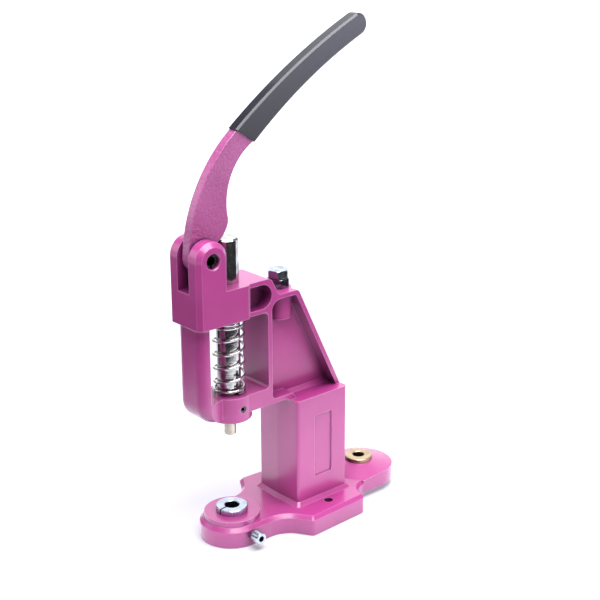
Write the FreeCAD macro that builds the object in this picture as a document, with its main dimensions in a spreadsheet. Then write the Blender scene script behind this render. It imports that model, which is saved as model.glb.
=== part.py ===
"""Hand lever eyelet press, in millimetres.

The origin is on the floor, on the axis of the front die station and of the ram.
Z points up, the mouth of the press faces -Y and its sides are at -X and +X.
"""
import FreeCAD, Part
import math
import os
import Sketcher
from FreeCAD import Rotation, Vector

# Driving dimensions: alias, value in millimetres or degrees, what it sets.
SIZES = [
    # Base plate
    ("base_height", 14.0, "top of the base plate above the floor"),
    ("base_bevel", 2.5, "bevel round the top edge of the base plate"),
    ("lobe_radius", 22.5, "front lobe round the die station"),
    ("disc_radius", 19.3, "raised disc on the front lobe"),
    ("station_top", 18.0, "top of the front disc"),
    ("station_pitch", 119.8, "front die station to rear die station"),
    ("rear_lobe_radius", 23.6, "rear lobe round the spare station"),
    ("rear_lobe_set_back", 2.2, "rear lobe centre behind the rear station"),
    ("rear_lobe_front_y", 103.0, "front end of the rear lobe's upright sides"),
    ("rear_lobe_lift", 4.4, "underside of the rear lobe above the floor"),
    ("rear_seat", 19.0, "seat of the rear bush, on the rear lobe's cone"),
    ("rear_seat_margin", 0.6, "seat of the rear bush, outside its flange"),
    ("rear_cone_spread", 5.0, "foot of the rear lobe's cone, outside the lobe"),
    ("base_half_width", 41.2, "half width of the base at the front of its bolt ears"),
    ("base_rear_half_width", 39.0, "half width of the base at the rear of its bolt ears"),
    ("bolt_ear_front_y", 39.2, "front corner of the bolt ears"),
    ("bolt_ear_round", 3.0, "rounding of the bolt ears' front corners"),
    ("bolt_ear_rear_y", 90.0, "rear corner of the bolt ears"),
    ("tail_round", 5.0, "rounding of the bolt ears' rear corners"),
    ("flank_bend_y", 27.5, "bend of the front flanks, behind the die"),
    ("flank_round", 20.0, "hollow of the front flanks"),
    ("rear_flank_bend_y", 94.0, "bend of the rear flanks, behind the die"),
    ("mount_hole_radius", 3.3, "clearance holes for the bench bolts"),
    ("mount_hole_x", 27.9, "bench bolt holes, from the centre line"),
    ("mount_hole_y", 64.6, "bench bolt holes, behind the die"),
    # Column
    ("column_half_width", 21.0, "half width of the column"),
    ("column_front_y", 41.4, "front face of the column"),
    ("column_rear_y", 88.0, "rear face of the column"),
    ("column_top", 93.0, "shoulder of the column"),
    ("column_crown", 0.9, "moulding draft of the column's front face at its ridge"),
    ("column_round", 2.5, "rounding of the column's upright edges"),
    ("column_foot", 2.5, "bevelled foot of the column"),
    ("column_wall", 5.0, "wall of the hollow column"),
    ("panel_front_y", 57.6, "front edge of the sunk panel"),
    ("panel_width", 16.0, "width of the sunk panel"),
    ("panel_bottom", 32.2, "lower edge of the sunk panel"),
    ("panel_height", 46.2, "height of the sunk panel"),
    ("panel_depth", 1.0, "depth of the sunk panel"),
    ("panel_round", 1.5, "corner radius of the sunk panel"),
    # Arm and its window
    ("arm_half_width", 14.0, "half width of the arm's rims"),
    ("web_half_width", 3.5, "half thickness of the arm's web"),
    ("web_foot", 2.5, "bevelled foot of the arm's web on the column's shoulder"),
    ("rim", 3.2, "thickness of the arm's rims"),
    ("arm_under", 94.4, "underside of the lower arm"),
    ("arm_blend", 5.0, "blend from the lower arm to the column"),
    ("window_rear_y", 23.0, "rear wall of the spring window"),
    ("window_round", 2.5, "corner radius of the spring window"),
    ("shoulder_y", 25.5, "end of the arm's level top"),
    ("shoulder_round", 5.0, "rounding of the arm's shoulder"),
    ("pad_drop", 13.0, "seat of the stop bolt's nut, below the top of the head"),
    ("pad_front_y", 32.5, "front of the seat of the stop bolt's nut"),
    ("back_top_y", 49.5, "upper end of the arm's sloping back"),
    ("back_round", 4.0, "rounding at the upper end of the sloping back"),
    ("pocket_round", 7.5, "corner radius of the large pocket under the stop bolt"),
    ("pocket_corner_round", 3.0, "other corner radii of the large pocket"),
    # Front wall and guide boss
    ("wall_front_y", -32.0, "front face of the wall before the spring"),
    ("wall_thickness", 7.3, "thickness of the wall before the spring"),
    ("wall_half_width", 13.0, "half width of the wall before the spring"),
    ("wall_edge_round", 6.0, "rounding of the wall's front edges"),
    ("wall_sweep", 14.5, "sweep from the wall's front face to the boss"),
    ("link_bottom", 92.2, "underside of the link from the wall to the boss"),
    ("link_half_width", 8.5, "half width of the link where it meets the boss"),
    ("link_taper", 12.0, "length over which the link narrows"),
    ("boss_radius", 15.0, "lower guide boss of the ram"),
    ("boss_bottom", 88.8, "underside of the guide boss"),
    ("boss_top", 106.7, "spring seat on the guide boss"),
    ("boss_round", 1.2, "rounding of the guide boss's lower edge"),
    # Head and its ears
    ("head_half_width", 16.3, "half width of the head"),
    ("head_front_y", -34.9, "front face of the head"),
    ("head_rear_y", 8.0, "rear face of the head"),
    ("head_bottom", 161.0, "underside of the head"),
    ("head_depth", 23.0, "height of the head, up to the floor of the lever slot"),
    ("head_bevel", 3.0, "bevel of the head's front corners and of the ears"),
    ("head_round", 4.0, "rounding of the head's rear corners"),
    ("head_cove", 2.5, "cove between the front wall and the underside of the head"),
    ("head_bore_wall", 4.0, "wall round the ram's upper guide"),
    ("slot_half_width", 6.0, "half width of the lever slot"),
    ("pivot_y", -22.5, "lever pivot, from the die axis"),
    ("pivot_rise", 21.5, "lever pivot above the head"),
    ("ear_radius", 12.4, "rounded top of the ears"),
    ("ear_hole_bevel", 0.7, "bevel round the pin holes"),
    # Pivot pin
    ("pin_radius", 5.0, "pivot pin"),
    ("pin_bore_radius", 3.25, "bore of the rolled pivot pin"),
    ("pin_recess", 3.0, "ends of the pin below the ears' faces"),
    ("pin_slit", 1.4, "slit of the rolled pivot pin"),
    ("running_clearance", 0.05, "radial clearance of the running fits"),
    # Lever
    ("lever_half_thickness", 3.7, "half thickness of the lever"),
    ("hub_radius", 10.1, "hub of the lever round the pin"),
    ("lever_reach", 140.2, "pivot to the far end of the lever, level"),
    ("lever_rise", 142.0, "pivot to the top of the lever"),
    ("nose_radius", 26.5, "pivot to the cam nose's lower end"),
    ("nose_angle", 37.5, "cam nose's lower end above level, degrees"),
    ("nose_tip_radius", 29.2, "pivot to the cam nose's tip"),
    ("nose_tip_angle", 41.0, "cam nose's tip above level, degrees"),
    ("cam_middle_radius", 20.0, "pivot to the middle of the cam's underside"),
    ("cam_middle_angle", 31.5, "middle of the cam's underside above level, degrees"),
    ("cam_start_angle", 28.0, "start of the cam's underside on the hub, degrees"),
    # Grip
    ("grip_wall", 1.0, "wall of the grip sleeve"),
    ("grip_slip", 0.05, "clearance between the grip sleeve and the lever"),
    ("grip_edge_bevel", 1.3, "bevelled edges of the grip sleeve"),
    # Ram and what it carries
    ("ram_radius", 8.0, "ram"),
    ("ram_rise", 8.5, "top of the ram at rest, above the lever pivot"),
    ("ram_bottom", 91.6, "lower end of the ram at rest"),
    ("ram_bevel", 1.0, "bevel at the top of the ram"),
    ("keyway_width", 4.0, "keyway of the ram"),
    ("keyway_depth", 1.8, "depth of the keyway"),
    ("stroke", 23.0, "working stroke of the ram"),
    ("spigot_radius", 4.0, "spigot for the upper die"),
    ("spigot_length", 15.6, "spigot below the ram"),
    ("spigot_seat", 12.0, "stem of the spigot inside the ram"),
    ("spigot_stem_radius", 3.0, "stem of the spigot inside the ram"),
    ("spigot_bevel", 0.5, "bevel at the spigot's end"),
    ("ring_thickness", 1.2, "retaining ring"),
    ("ring_radius", 10.4, "outside of the retaining ring"),
    ("ring_gap_angle", 40.0, "opening of the retaining ring, degrees"),
    ("groove_depth", 0.6, "groove of the retaining ring in the ram"),
    ("rest_gap", 0.1, "retaining ring below the head at rest"),
    ("washer_thickness", 1.5, "spring washer"),
    ("washer_radius", 11.2, "outside of the spring washer"),
    ("washer_clearance", 0.2, "radial clearance of the spring washer on the ram"),
    # Return spring
    ("spring_radius", 11.15, "outside of the return spring"),
    ("spring_wire", 1.8, "wire of the return spring"),
    ("spring_end_gap", 0.6, "gap between the wires of a closed end turn"),
    ("spring_seat_gap", 0.1, "spring ends from their seats"),
    # Guide screw
    ("guide_screw_radius", 2.5, "guide set screw"),
    ("guide_screw_height", 98.0, "axis of the guide set screw"),
    ("guide_screw_inset", 0.7, "set screw's socket end below the boss's side"),
    ("guide_dog_radius", 1.8, "dog point of the guide set screw"),
    ("guide_dog_gap", 0.2, "dog point above the keyway's floor"),
    ("guide_socket_width", 2.5, "hexagon socket of the guide set screw across flats"),
    ("guide_socket_depth", 2.5, "depth of the guide set screw's socket"),
    # Front die bush and its clamp screw
    ("bush_flange_radius", 11.0, "flange of the front bush"),
    ("bush_flange", 4.0, "thickness of the front bush's flange"),
    ("bush_stem_radius", 8.0, "stem of the front bush"),
    ("bush_bore_radius", 5.0, "bore of the front bush for the lower die"),
    ("bush_bevel", 0.4, "bevels of the bushes"),
    ("bush_slit", 1.2, "slit of the front bush"),
    ("bush_slit_angle", 5.0, "slit, from the front towards +X, degrees"),
    ("clamp_screw_radius", 2.5, "clamp screw"),
    ("clamp_screw_height", 8.3, "axis of the clamp screw"),
    ("clamp_head_radius", 4.25, "head of the clamp screw"),
    ("clamp_head_length", 6.5, "length of the clamp screw's head"),
    ("clamp_head_gap", 3.0, "clamp screw's head from the side of the lobe"),
    ("clamp_socket_width", 4.0, "hexagon socket of the clamp screw across flats"),
    ("clamp_socket_depth", 2.6, "depth of the clamp screw's socket"),
    ("clamp_tip_gap", 0.05, "clamp screw's tip from the bush"),
    # Rear bush
    ("rear_bush_radius", 10.2, "flange of the rear bush"),
    ("rear_bush_stem_radius", 7.0, "stem of the rear bush"),
    ("rear_bush_bore_radius", 4.25, "bore of the rear bush"),
    ("rear_bush_flange", 3.0, "thickness of the rear bush's flange"),
    # Stop bolt and its nut
    ("stop_y", 43.3, "stop bolt, behind the die axis"),
    ("stop_boss_radius", 9.0, "boss of the stop bolt"),
    ("stop_boss_length", 21.0, "boss of the stop bolt below its seat"),
    ("bolt_radius", 4.0, "stop bolt's shank"),
    ("bolt_length", 25.0, "stop bolt's shank below the head"),
    ("bolt_head_height", 5.3, "stop bolt's head"),
    ("bolt_width", 13.0, "stop bolt's head and nut across flats"),
    ("nut_height", 6.5, "lock nut"),
    ("bolt_head_gap", 0.6, "stop bolt's head above the lock nut"),
    ("hex_bevel", 1.0, "bevel of the bolt's and nut's corners"),
    ("bolt_turn", 19.0, "turn of the bolt's head about its axis, degrees"),
    ("nut_turn", 36.0, "turn of the lock nut about its axis, degrees"),
]

# Points of the lever's outline, as shares of its reach and rise from the pivot.
FRONT_EDGE_SHARES = [(-0.006, 0.269), (0.212, 0.544)]
HANDLE_TOP_SHARES = [(0.588, 0.804), (0.936, 0.985)]
HANDLE_UNDER_SHARES = [(0.9765, 0.904), (0.645, 0.728), (0.313, 0.483)]
BACK_EDGE_SHARES = [(0.180, 0.345), (0.158, 0.1555)]

# How far a cut runs past the face that it opens.
OVERRUN = 1.0

# Two places closer than this are one, and an edge this near a surface lies on it.
SAME_PLACE = 0.0001
ON_SURFACE = 0.01

# Places along an edge at which it is tested.
EDGE_SAMPLES = 5

HEXAGON_SIDES = 6

# Hollow between the bolt ears and the rear lobe, as a share of the step between them.
REAR_HOLLOW_SHARE = 0.85

# Corner radius at the end of a slot, as a share of its width, just short of a half.
ROUND_END_SHARE = 0.495

# Heights above the floor that follow from others.
HEAD_TOP = "(Sizes.head_bottom + Sizes.head_depth)"
PIVOT_Z = "(Sizes.head_bottom + Sizes.head_depth + Sizes.pivot_rise)"
PAD_TOP = "(Sizes.head_bottom + Sizes.head_depth - Sizes.pad_drop)"

doc = FreeCAD.newDocument("eyelet_press")
sheet = doc.addObject("Spreadsheet::Sheet", "Sizes")
for row, (alias, value, note) in enumerate(SIZES, start=1):
    sheet.set("A%d" % row, alias)
    sheet.set("B%d" % row, str(value))
    sheet.set("C%d" % row, note)
    sheet.setAlias("B%d" % row, alias)
doc.recompute()


def size(alias):
    """Value of one driving dimension."""
    return float(sheet.get(alias))


def head_top():
    return size("head_bottom") + size("head_depth")


def pivot_z():
    return head_top() + size("pivot_rise")


def pad_top():
    return head_top() - size("pad_drop")


def polar(radius, angle):
    return Vector(radius * math.cos(math.radians(angle)), radius * math.sin(math.radians(angle)), 0)


def new_body(name):
    body = doc.addObject("PartDesign::Body", name)
    body.Label = name
    return body


def new_sketch(body, role, name, offset=None):
    """Sketch on one of the body's own origin planes, raised by an expression."""
    plane = [item for item in body.Origin.OriginFeatures if item.Role == role][0]
    sketch = body.newObject("Sketcher::SketchObject", name)
    sketch.AttachmentSupport = [(plane, "")]
    sketch.MapMode = "FlatFace"
    if offset:
        sketch.setExpression("AttachmentOffset.Base.z", offset)
    return sketch


def add_circle(sketch, radius, across=None, up=None):
    """Circle whose radius and centre are bound to expressions."""
    value = sketch.evalExpression(radius)
    level = sketch.evalExpression(across) if across else 0
    height = sketch.evalExpression(up) if up else 0
    centre = Vector(level, height, 0)
    circle = sketch.addGeometry(Part.Circle(centre, Vector(0, 0, 1), value), False)
    index = sketch.addConstraint(Sketcher.Constraint("Radius", circle, value))
    sketch.setExpression("Constraints[%d]" % index, radius)
    if not across and not up:
        sketch.addConstraint(Sketcher.Constraint("Coincident", circle, 3, -1, 1))
        return
    for kind, place, expression in (("DistanceX", centre.x, across), ("DistanceY", centre.y, up)):
        index = sketch.addConstraint(Sketcher.Constraint(kind, -1, 1, circle, 3, place))
        if expression:
            sketch.setExpression("Constraints[%d]" % index, expression)


def add_line(sketch, start, end):
    sketch.addGeometry(Part.LineSegment(start, end), False)


def add_arc(sketch, start, middle, end):
    sketch.addGeometry(Part.Arc(start, middle, end), False)


def add_outline(sketch, corners):
    """Closed outline through corners, each (across, up, corner radius)."""
    places = [Vector(across, up, 0) for across, up, _ in corners]
    stretches = []
    for index, (_, _, radius) in enumerate(corners):
        here = places[index]
        back = (places[index - 1] - here).normalize()
        ahead = (places[(index + 1) % len(places)] - here).normalize()
        half = back.getAngle(ahead) / 2
        reach = radius / math.tan(half)
        inward = (back + ahead).normalize() if radius else Vector()
        middle = here + inward * (radius / math.sin(half) - radius)
        stretches.append((here + back * reach, middle, here + ahead * reach))
    for index, (start, middle, end) in enumerate(stretches):
        if corners[index][2]:
            add_arc(sketch, start, middle, end)
        following = stretches[(index + 1) % len(stretches)][0]
        if (following - end).Length > SAME_PLACE:
            add_line(sketch, end, following)


def add_hexagon(sketch, across_flats, turn=0):
    corner = across_flats / (2 * math.cos(math.pi / HEXAGON_SIDES))
    corners = [polar(corner, turn + 360 * step / HEXAGON_SIDES) for step in range(HEXAGON_SIDES)]
    for index in range(HEXAGON_SIDES):
        add_line(sketch, corners[index - 1], corners[index])


def pad(body, sketch, length, symmetric=False, backwards=False):
    feature = body.newObject("PartDesign::Pad", sketch.Name + "_pad")
    feature.Profile = sketch
    feature.setExpression("Length", length)
    feature.SideType = "Symmetric" if symmetric else "One side"
    feature.Reversed = backwards
    sketch.Visibility = False
    doc.recompute()
    return feature


def pocket(body, sketch, length, symmetric=False, backwards=False):
    """Pocket that must take something away."""
    before = body.Tip.Shape.Volume
    feature = body.newObject("PartDesign::Pocket", sketch.Name + "_pocket")
    feature.Profile = sketch
    feature.setExpression("Length", length)
    feature.SideType = "Symmetric" if symmetric else "One side"
    feature.Reversed = backwards
    doc.recompute()
    if not feature.Shape.Volume < before:
        raise ValueError(sketch.Name + " cuts nothing")
    return feature


def turned(body, sketch, corners):
    """Revolve an outline of (radius, height, corner radius) round the Z axis."""
    add_outline(sketch, corners)
    feature = body.newObject("PartDesign::Revolution", sketch.Name + "_turned")
    feature.Profile = sketch
    feature.ReferenceAxis = (sketch, ["V_Axis"])
    doc.recompute()
    return feature


def edges_where(shape, test):
    """Names of the edges whose every sampled point passes a test."""
    names = []
    for index, edge in enumerate(shape.Edges, start=1):
        if all(test(point) for point in edge.discretize(EDGE_SAMPLES)):
            names.append("Edge%d" % index)
    return names


def dress(body, kind, name, property_name, amount, test):
    """Fillet or bevel the body's edges that pass a test."""
    tip = body.Tip
    feature = body.newObject("PartDesign::" + kind, name)
    feature.Base = (tip, edges_where(tip.Shape, test))
    feature.setExpression(property_name, amount)
    doc.recompute()
    if not feature.isValid():
        raise ValueError("%s fails on %s" % (name, feature.Base[1]))
    return feature


def near(value, target):
    return abs(value - target) < ON_SURFACE


def mirrored_pocket(body, name, corners):
    """Sink the same pocket into both sides of the arm, down to the web."""
    sketch = new_sketch(body, "YZ_Plane", name, "Sizes.web_half_width")
    add_outline(sketch, corners)
    cut = pocket(body, sketch, "Sizes.head_half_width", backwards=True)
    mirror = body.newObject("PartDesign::Mirrored", name + "_other_side")
    mirror.Originals = [cut]
    plane = [item for item in body.Origin.OriginFeatures if item.Role == "YZ_Plane"][0]
    mirror.MirrorPlane = (plane, [""])
    body.Tip = mirror
    doc.recompute()


def make_frame():
    """One casting: base plate, hollow column, webbed arm, head with ears and guides."""
    body = new_body("frame")
    front_wall(body)
    head(body)
    arm(body)
    column(body)
    base_plate(body)
    column_foot(body)
    pockets(body)
    guides_and_holes(body)
    return body


def base_plate(body):
    plan = new_sketch(body, "XY_Plane", "base_plan")
    lobe = size("lobe_radius")
    rear = size("rear_lobe_radius")
    end = size("station_pitch") + size("rear_lobe_set_back") + rear
    hollow = (size("base_rear_half_width") - rear) * REAR_HOLLOW_SHARE
    half = [
        (lobe, -lobe, lobe),
        (lobe, size("flank_bend_y"), size("flank_round")),
        (size("base_half_width"), size("bolt_ear_front_y"), size("bolt_ear_round")),
        (size("base_rear_half_width"), size("bolt_ear_rear_y"), size("tail_round")),
        (rear, size("rear_flank_bend_y"), hollow),
        (rear, end, rear)]
    other_half = [(-across, up, rounding) for across, up, rounding in reversed(half)]
    add_outline(plan, half + other_half)
    pad(body, plan, "Sizes.base_height")
    top = size("base_height")
    side = size("column_half_width")
    dress(body, "Chamfer", "base_edge_bevel", "Size", "Sizes.base_bevel",
          lambda point: near(point.z, top)
          and not (abs(point.x) < side + OVERRUN
                   and size("column_front_y") - OVERRUN < point.y < size("column_rear_y") + OVERRUN))
    disc = new_sketch(body, "XY_Plane", "front_disc")
    add_circle(disc, "Sizes.disc_radius")
    pad(body, disc, "Sizes.station_top")
    rear_lobe(body)


def rear_lobe(body):
    """Square-edged lobe round the spare station, whose top rises in a low cone to the bush."""
    half = size("rear_lobe_radius")
    spread = size("rear_cone_spread")
    centre = size("station_pitch") + size("rear_lobe_set_back")
    end = centre + half
    front = size("rear_lobe_front_y")
    plan = new_sketch(body, "XY_Plane", "rear_lobe_plan")
    add_outline(plan, [(half, front, 0), (half, end, half), (-half, end, half), (-half, front, 0)])
    pad(body, plan, "Sizes.base_height")
    low = new_sketch(body, "XY_Plane", "cone_foot", "Sizes.base_height")
    add_circle(low, "Sizes.rear_lobe_radius + Sizes.rear_cone_spread", None,
               "Sizes.station_pitch + Sizes.rear_lobe_set_back")
    high = new_sketch(body, "XY_Plane", "cone_seat", "Sizes.rear_seat")
    add_circle(high, "Sizes.rear_bush_radius + Sizes.rear_seat_margin", None, "Sizes.station_pitch")
    cone = body.newObject("PartDesign::AdditiveLoft", "rear_lobe_cone")
    cone.Profile = low
    cone.Sections = [high]
    cone.Ruled = True
    doc.recompute()
    start = centre - half - spread
    wide = half + spread + OVERRUN
    trim = new_sketch(body, "XY_Plane", "cone_trim", "Sizes.base_height")
    add_outline(trim, [(wide, start - 2 * OVERRUN, 0), (wide, centre + wide, 0), (-wide, centre + wide, 0),
                       (-wide, start - 2 * OVERRUN, 0)])
    add_outline(trim, [(half, start - OVERRUN, 0), (half, end, half), (-half, end, half),
                       (-half, start - OVERRUN, 0)])
    pocket(body, trim, "Sizes.rear_seat", backwards=True)
    under = new_sketch(body, "XY_Plane", "rear_lobe_underside")
    add_outline(under, [(wide, front, 0), (wide, centre + wide, 0), (-wide, centre + wide, 0),
                        (-wide, front, 0)])
    pocket(body, under, "Sizes.rear_lobe_lift", backwards=True)


def column_foot(body):
    """Bevelled foot where the column meets the base plate."""
    lower = new_sketch(body, "XY_Plane", "foot_plan", "Sizes.base_height")
    add_outline(lower, column_corners(size("column_foot")))
    upper = new_sketch(body, "XY_Plane", "foot_top_plan", "Sizes.base_height + Sizes.column_foot")
    add_outline(upper, column_corners(0))
    foot = body.newObject("PartDesign::AdditiveLoft", "column_foot_loft")
    foot.Profile = lower
    foot.Sections = [upper]
    foot.Ruled = True
    doc.recompute()


def column_corners(grow):
    """Corners of the column's plan, grown outwards."""
    side = size("column_half_width") + grow
    front = size("column_front_y") - grow
    rear = size("column_rear_y") + grow
    crown = size("column_crown")
    rounding = size("column_round")
    return [(-side, front + crown, rounding), (0, front, 0), (side, front + crown, rounding),
            (side, rear, rounding), (-side, rear, rounding)]


def column(body):
    plan = new_sketch(body, "XY_Plane", "column_plan")
    add_outline(plan, column_corners(0))
    pad(body, plan, "Sizes.column_top")


def arm(body):
    """Side view of the arm from the guide boss to the head, round the spring window."""
    side = new_sketch(body, "YZ_Plane", "arm_side")
    under = size("arm_under")
    front = size("column_front_y") + size("column_crown")
    blend = size("arm_blend")
    sunk = size("column_top") - size("column_round")
    back_foot = size("column_rear_y") - size("column_round") / 2
    add_outline(side, [
        (0, under, 0),
        (front, under, blend),
        (front, under - 2 * blend, 0),
        (front + size("column_round"), under - 2 * blend, 0),
        (front + size("column_round"), sunk, 0),
        (back_foot, sunk, 0),
        (back_foot, size("arm_under"), 0),
        (size("back_top_y"), pad_top(), size("back_round")),
        (size("pad_front_y"), pad_top(), size("back_round") / 2),
        (size("shoulder_y"), head_top(), size("shoulder_round")),
        (0, head_top(), 0),
        (0, size("head_bottom"), 0),
        (size("window_rear_y"), size("head_bottom"), size("window_round")),
        (size("window_rear_y"), size("boss_top"), size("window_round")),
        (0, size("boss_top"), 0)])
    pad(body, side, "2 * Sizes.arm_half_width", symmetric=True)


def front_wall(body):
    """Wall before the spring, swept under to the guide boss."""
    side = new_sketch(body, "YZ_Plane", "front_wall_side")
    front = size("wall_front_y")
    inner = front + size("wall_thickness")
    top = size("head_bottom") + OVERRUN
    add_outline(side, [
        (front, top, 0),
        (front, size("link_bottom"), size("wall_sweep")),
        (0, size("link_bottom"), 0),
        (0, size("boss_top"), 0),
        (inner, size("boss_top"), size("window_round")),
        (inner, top, 0)])
    pad(body, side, "2 * Sizes.wall_half_width", symmetric=True)
    wide = size("wall_half_width")
    low = size("link_bottom")
    sweep = size("wall_sweep")
    centre = Vector(0, front + sweep, low + sweep)

    def on_outside(point):
        if not near(abs(point.x), wide):
            return False
        if near(point.y, front) or near(point.z, low):
            return True
        return near(math.hypot(point.y - centre.y, point.z - centre.z), sweep) and point.y < centre.y

    dress(body, "Fillet", "wall_edge_rounding", "Radius", "Sizes.wall_edge_round", on_outside)
    link = size("link_half_width")
    end = inner + size("link_taper")
    for side_sign, name in ((1, "link_right_side"), (-1, "link_left_side")):
        sides = new_sketch(body, "XY_Plane", name)
        outline = [(wide + OVERRUN, inner), (wide + OVERRUN, OVERRUN), (link, OVERRUN), (link, end),
                   (wide, inner)]
        add_outline(sides, [(side_sign * across, up, 0) for across, up in outline])
        pocket(body, sides, "Sizes.boss_top", backwards=True)


def head(body):
    boss = new_sketch(body, "XZ_Plane", "guide_boss")
    round_boss = size("boss_radius")
    turned(body, boss, [(0, size("boss_bottom"), 0), (round_boss, size("boss_bottom"), size("boss_round")),
                        (round_boss, size("boss_top"), 0), (0, size("boss_top"), 0)])
    wide = size("head_half_width")
    front = size("head_front_y")
    rear = size("head_rear_y")
    rounding = size("head_round")
    plan = new_sketch(body, "XY_Plane", "head_plan", "Sizes.head_bottom")
    add_outline(plan, [(-wide, front, 0), (wide, front, 0), (wide, rear, rounding), (-wide, rear, rounding)])
    pad(body, plan, "Sizes.head_depth")
    under = size("head_bottom")
    inner = size("wall_front_y") + size("wall_thickness")
    dress(body, "Fillet", "head_cove", "Radius", "Sizes.head_cove",
          lambda point: near(point.z, under) and front < point.y < inner and abs(point.x) < wide
          and not near(point.y, front) and not near(point.y, inner) and not near(abs(point.x), wide))
    ears = new_sketch(body, "YZ_Plane", "ears_side")
    pin_z = pivot_z()
    back = size("pivot_y") + size("ear_radius")
    seat = head_top() - OVERRUN
    front_top = Vector(front, pin_z, 0)
    back_top = Vector(back, pin_z, 0)
    add_arc(ears, front_top, Vector((front + back) / 2, pin_z + (back - front) / 2, 0), back_top)
    add_line(ears, back_top, Vector(back, seat, 0))
    add_line(ears, Vector(back, seat, 0), Vector(front, seat, 0))
    add_line(ears, Vector(front, seat, 0), front_top)
    pad(body, ears, "2 * Sizes.head_half_width", symmetric=True)

    def ear_rim(point):
        if not near(abs(point.x), wide):
            return False
        on_front = near(point.y, front)
        on_back = near(point.y, back) and point.z >= head_top()
        middle = (front + back) / 2
        from_middle = math.hypot(point.y - middle, point.z - pin_z)
        on_top = point.z >= pin_z and near(from_middle, (back - front) / 2)
        return on_front or on_back or on_top

    dress(body, "Chamfer", "ear_bevel", "Size", "Sizes.head_bevel", ear_rim)
    slot = new_sketch(body, "YZ_Plane", "lever_slot")
    top = pin_z + size("ear_radius") + OVERRUN
    add_outline(slot, [(front - OVERRUN, head_top(), 0), (back + OVERRUN, head_top(), 0),
                       (back + OVERRUN, top, 0), (front - OVERRUN, top, 0)])
    pocket(body, slot, "2 * Sizes.slot_half_width", symmetric=True)


def pockets(body):
    """Lightening pockets in both sides of the arm, and the bosses that stand in them."""
    rim = size("rim")
    rear = size("head_rear_y")
    floor = size("head_bottom") + rim
    ceiling = head_top() - rim
    height = ceiling - floor
    front = size("window_rear_y") + rim
    rounding = height * ROUND_END_SHARE
    mirrored_pocket(body, "upper_pocket", [
        (rear, floor, 0), (front, floor, rounding), (front, ceiling, rounding), (rear, ceiling, 0)])
    back_foot = size("column_rear_y") - size("column_round") / 2
    run = back_foot - size("back_top_y")
    fall = pad_top() - size("arm_under")
    along = math.hypot(run, fall)
    inset = rim * along / fall
    top = pad_top() - rim
    low = size("arm_under") + rim
    slope = run / fall
    bend_y = size("column_front_y") + size("column_round")
    mirrored_pocket(body, "lower_pocket", [
        (front, low, size("pocket_corner_round")),
        (bend_y, low, 0),
        (bend_y + rim, size("column_top"), 0),
        (back_foot - inset + slope * (size("arm_under") - size("column_top")), size("column_top"), 0),
        (size("back_top_y") - inset + slope * rim, top, size("pocket_corner_round")),
        (front, top, size("pocket_round"))])
    foot = new_sketch(body, "XZ_Plane", "web_foot",
                      "-(Sizes.column_front_y + Sizes.column_round + Sizes.rim)")
    web = size("web_half_width")
    reach = web + size("web_foot")
    shoulder = size("column_top")
    raised = shoulder + size("web_foot")
    add_outline(foot, [(-reach, shoulder, 0), (reach, shoulder, 0), (web, raised, 0), (-web, raised, 0)])
    pad(body, foot, "Sizes.column_rear_y - Sizes.column_front_y - 2 * Sizes.column_round - Sizes.rim",
        backwards=True)
    guide = new_sketch(body, "XY_Plane", "upper_guide_boss", "Sizes.head_bottom")
    add_circle(guide, "Sizes.ram_radius + Sizes.head_bore_wall")
    pad(body, guide, "Sizes.head_depth")
    stop = new_sketch(body, "XY_Plane", "stop_boss", PAD_TOP + " - Sizes.stop_boss_length")
    add_circle(stop, "Sizes.stop_boss_radius", None, "Sizes.stop_y")
    pad(body, stop, "Sizes.stop_boss_length")


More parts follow.
